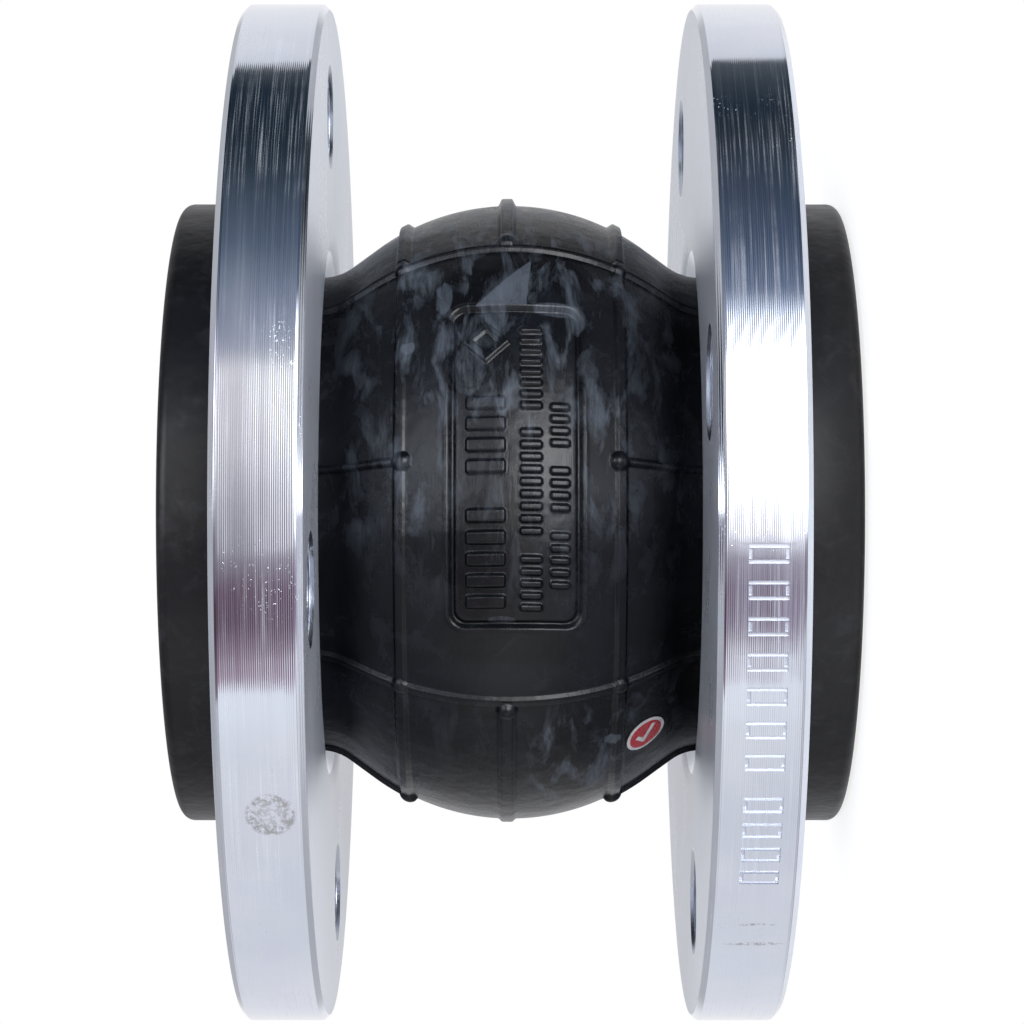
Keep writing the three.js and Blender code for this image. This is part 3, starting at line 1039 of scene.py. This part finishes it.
def printed_film(name, colour, faded):
    """Glossy printed film, slightly uneven in tone."""
    material, tree, shader = new_material(name)
    place = rest_place(tree)
    wear = noise(tree, place, 700.0, 4.0)
    plug(tree, shader, {
        "Base Color": mixed(tree, fitted(tree, wear, 0.4, 0.75), colour, faded),
        "Roughness": fitted(tree, wear, 0.3, 0.7, 0.22, 0.4),
        "Normal": bump(tree, wear, 0.00002),
    })
    return material


# ---- studio


# Light from each direction round the pipe axis, in degrees from the camera's side towards +X.
# A white backdrop fills most of it; the rims also show a dark room, a soft light and a mauve gap.
BACKDROP = (0.93, 0.93, 0.95)
BACKDROP_SHADE = (0.82, 0.82, 0.86)
BACKDROP_GLOW = (1.02, 1.03, 1.06)
MAUVE = (0.155, 0.098, 0.13)
PALE_MAUVE = (0.42, 0.36, 0.44)
ROSE = (0.44, 0.32, 0.39)
SOFT_LIGHT = (0.80, 0.78, 0.77)
STRONG_LIGHT = (1.85, 1.83, 1.82)
BLUE_SHADE = (0.30, 0.33, 0.40)
DEEP_BLUE = (0.12, 0.155, 0.21)
DARK_ROOM = (0.018, 0.03, 0.045)

UPPER_SIDE_LIGHT = [
    (-180, BACKDROP), (-70, BACKDROP_SHADE), (-50, BACKDROP), (-42, BACKDROP_GLOW), (-36.5, BACKDROP_GLOW),
    (-35, ROSE), (-22, MAUVE), (-14, MAUVE), (-9, (0.27, 0.235, 0.27)), (-5, (0.35, 0.32, 0.36)),
    (8, (0.46, 0.45, 0.47)), (20, (0.63, 0.62, 0.62)), (33, SOFT_LIGHT), (37, (0.42, 0.44, 0.50)),
    (50, BLUE_SHADE), (62, DEEP_BLUE), (84, (0.03, 0.045, 0.06)), (92, DARK_ROOM), (108, DARK_ROOM),
    (117, (0.08, 0.09, 0.10)), (118, BACKDROP_SHADE), (140, BACKDROP),
]
LOWER_SIDE_LIGHT = [
    (-180, BACKDROP), (-70, BACKDROP_SHADE), (-50, BACKDROP), (-42, BACKDROP_GLOW), (-32, BACKDROP_GLOW),
    (-30.5, (0.66, 0.62, 0.67)), (-25, PALE_MAUVE), (-16.5, PALE_MAUVE), (-10, (0.62, 0.59, 0.65)),
    (-8.5, (1.45, 1.41, 1.44)), (0, (1.42, 1.39, 1.40)), (12, STRONG_LIGHT), (29, STRONG_LIGHT),
    (33, (0.60, 0.63, 0.70)), (40, (0.17, 0.23, 0.36)), (57, (0.07, 0.10, 0.16)),
    (88, (0.03, 0.042, 0.055)), (98, DARK_ROOM), (108, (0.05, 0.065, 0.08)), (117, (0.10, 0.11, 0.12)),
    (118, BACKDROP_SHADE), (140, BACKDROP),
]
BAND_LEAN = 0.35
BRIGHTEST = 2.5
SIDE_BOX = {"turn": 21.0, "half_turn": 29.0, "upper_start": 0.30, "upper_full": 0.50,
            "lower_start": 0.085, "lower_full": 0.12, "upper_strength": 4.6, "lower_strength": 8.0}
# The surroundings are dimmer above and below the level of the joint; "left" is the share that stays.
DIM = {"start": 0.12, "full": 0.3, "left": 0.6}
# Half the rise over which the upper side's light passes into the lower side's.
SIDE_BLEND = 0.06
# The floor and the camera, in metres.
FLOOR = {"radius": 0.13, "fade": (0.075, 0.125), "drop": 0.0005}
CAMERA = {"distance": 0.6072, "lens": 115.84, "shift": (0.0015, 0.0003), "near": 0.01}


def build_world():
    """Studio surroundings seen in reflections and as light; plain white where the camera looks past."""
    world = bpy.data.worlds.new("studio")
    bpy.context.scene.world = world
    world.use_nodes = True
    tree = world.node_tree
    tree.nodes.clear()
    direction = add(tree, "ShaderNodeTexCoord").outputs["Generated"]
    parts = add(tree, "ShaderNodeSeparateXYZ", {0: direction})
    rise = parts.outputs["Z"]
    turn = calc(tree, "ARCTAN2", parts.outputs["X"], times(tree, parts.outputs["Y"], -1.0))
    leant = calc(tree, "ADD", turn, times(tree, rise, BAND_LEAN))
    share = calc(tree, "ADD", calc(tree, "DIVIDE", leant, 2 * math.pi), 0.5)
    upper_side = ramp(tree, share, UPPER_SIDE_LIGHT)
    lower_side = ramp(tree, share, LOWER_SIDE_LIGHT)
    tone = mixed(tree, fitted(tree, rise, -SIDE_BLEND, SIDE_BLEND), lower_side, upper_side)
    tilt = calc(tree, "ABSOLUTE", rise)
    strength = fitted(tree, tilt, DIM["start"], DIM["full"], BRIGHTEST, BRIGHTEST * DIM["left"])
    around = add(tree, "ShaderNodeBackground", {"Color": tone, "Strength": strength})
    off = calc(tree, "ABSOLUTE", calc(tree, "SUBTRACT", turn, math.radians(SIDE_BOX["turn"])))
    level = fitted(tree, off, math.radians(SIDE_BOX["half_turn"]), 0.1)
    above = fitted(tree, rise, SIDE_BOX["upper_start"], SIDE_BOX["upper_full"])
    under = times(tree, fitted(tree, rise, -SIDE_BOX["lower_start"], -SIDE_BOX["lower_full"]),
                  fitted(tree, rise, -0.45, -0.7, 1.0, 0.7))
    above = times(tree, above, SIDE_BOX["upper_strength"])
    under = times(tree, under, SIDE_BOX["lower_strength"])
    glow = times(tree, level, calc(tree, "ADD", above, under))
    boxes = add(tree, "ShaderNodeBackground", {"Color": (0.95, 0.97, 1.0, 1), "Strength": glow})
    lit = add(tree, "ShaderNodeAddShader", {0: around.outputs[0], 1: boxes.outputs[0]})
    plain = add(tree, "ShaderNodeBackground", {"Color": (1, 1, 1, 1), "Strength": 1.0})
    seen = add(tree, "ShaderNodeLightPath").outputs["Is Camera Ray"]
    joined = add(tree, "ShaderNodeMixShader", {0: seen, 1: lit.outputs[0], 2: plain.outputs[0]})
    output = add(tree, "ShaderNodeOutputWorld")
    tree.links.new(joined.outputs[0], output.inputs["Surface"])


def ramp(tree, share, stops):
    """A colour ramp over the full turn from stops in degrees."""
    node = add(tree, "ShaderNodeValToRGB", {"Fac": share})
    elements = node.color_ramp.elements
    while len(elements) < len(stops):
        elements.new(0.5)
    for element, (degrees, colour) in zip(elements, stops):
        element.position = degrees / 360 + 0.5
        element.color = (*[c / BRIGHTEST for c in colour], 1)
    return node.outputs["Color"]


def build_floor():
    """A plain pale floor under the joint that fades out into the backdrop."""
    material, tree, shader = new_material("pale_floor")
    place = add(tree, "ShaderNodeTexCoord").outputs["Object"]
    away = vectors(tree, "LENGTH", place)
    plug(tree, shader, {
        "Base Color": (0.45, 0.45, 0.45, 1),
        "Roughness": 0.9,
        "Emission Color": (1, 1, 1, 1),
        "Emission Strength": 0.8,
        "Alpha": fitted(tree, away, *FLOOR["fade"], 1, 0),
    })
    work = bmesh.new()
    bmesh.ops.create_circle(work, cap_ends=True, radius=FLOOR["radius"], segments=96)
    mesh = bpy.data.meshes.new("floor")
    work.to_mesh(mesh)
    work.free()
    mesh.materials.append(material)
    floor = bpy.data.objects.new("floor", mesh)
    bpy.context.scene.collection.objects.link(floor)
    floor.location.z = -FLOOR["drop"]


def build_camera():
    """The photograph's view: square to the pipe axis, turned a quarter so that the axis lies level."""
    camera = bpy.data.objects.new("camera", bpy.data.cameras.new("camera"))
    bpy.context.scene.collection.objects.link(camera)
    camera.data.sensor_width = 36.0
    camera.data.lens = CAMERA["lens"]
    camera.data.shift_x, camera.data.shift_y = CAMERA["shift"]
    right, up, back = Vector((0, 0, -1)), Vector((1, 0, 0)), Vector((0, -1, 0))
    turned = Matrix((right, up, back)).transposed().to_4x4()
    camera.matrix_world = Matrix.Translation((0, -CAMERA["distance"], MIDDLE * MM)) @ turned
    camera.data.clip_start = CAMERA["near"]
    bpy.context.scene.camera = camera


# ---- assembly

bpy.context.scene.view_settings.view_transform = "Standard"
build_camera()
build_world()
build_floor()

cover_rubber = rubber(
    "cover_rubber", (0.003, 0.0035, 0.0045), (0.008, 0.009, 0.012), (0.10, 0.118, 0.145), 0.27)
collar_rubber = rubber(
    "collar_rubber", (0.007, 0.007, 0.009), (0.012, 0.012, 0.015), (0.06, 0.062, 0.07), 0.38, 0.25)
tube_rubber = rubber("tube_rubber", (0.009, 0.009, 0.010), (0.015, 0.016, 0.018), (0.04, 0.045, 0.05), 0.34)
looks = {
    "collar": collar_rubber,
    "hoop": drawn_wire(),
    "filler": rubber("filler_rubber", (0.03, 0.03, 0.03), (0.05, 0.05, 0.05), (0.08, 0.08, 0.08), 0.6),
    "label_white": printed_film("label_white", (0.82, 0.82, 0.80), (0.55, 0.56, 0.56)),
    "label_red": printed_film("label_red", (0.55, 0.006, 0.014), (0.38, 0.03, 0.05)),
}
flange_looks = [
    zinc("zinc_rim", along_axis, 0.045, 0.34, 0.06, 0.3),
    zinc("zinc_face", along_radius, 0.26, 0.45, 0.03, 0.3, 0.35),
    zinc("zinc_bore", along_axis, 0.18, 0.5, 0.05, 0.1),
]

for end in ("lower", "upper"):
    build_flange(end, flange_looks)
    build_end(end, looks)
build_cover(cover_rubber)
for place, lean in (("outer", 1.0), ("middle", -1.0), ("inner", 1.0)):
    build_layer(f"{place}_ply", cord_ply(f"{place}_cord", lean))
build_layer("inner_tube", tube_rubber)
build_label(looks)
